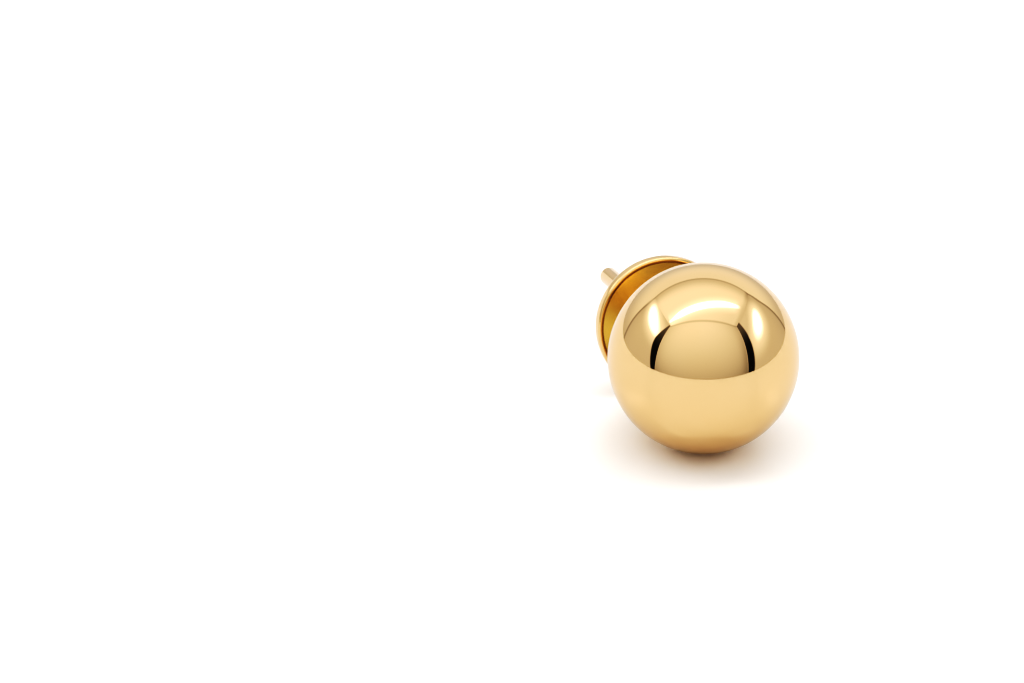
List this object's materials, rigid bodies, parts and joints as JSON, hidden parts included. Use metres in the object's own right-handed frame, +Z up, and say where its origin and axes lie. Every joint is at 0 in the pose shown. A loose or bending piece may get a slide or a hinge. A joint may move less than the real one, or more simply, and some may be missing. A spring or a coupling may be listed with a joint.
{
  "type": "ball stud earring",
  "caption": "Ball stud earring: a polished metal ball with a straight ear post soldered to it, and a dished disc back that slides on the post to hold it in a pierced ear.",
  "frame": {"origin": "bottom centre of the whole earring, on the surface that it lies on", "axes": "+Z up. The front of the ball faces -Y and the post runs back towards +Y, sloping down about 10 degrees, because the earring rests on the ball and on the lower edge of the disc back."},
  "size_m": [0.008, 0.0188, 0.008],
  "materials": {
    "stud_gold": "mirror-polished yellow gold",
    "back_gold": "polished yellow gold, slightly deeper in tone"
  },
  "bodies": {
    "stud": {"ball_and_post": "stud_gold"},
    "back": {"disc_back": "back_gold"}
  },
  "joints": [
    {"name": "back_slide", "type": "slide", "parent": "stud", "child": "back", "axis": [0, 0.9845, -0.1756], "range_m": [-0.0025, 0.01]}
  ]
}
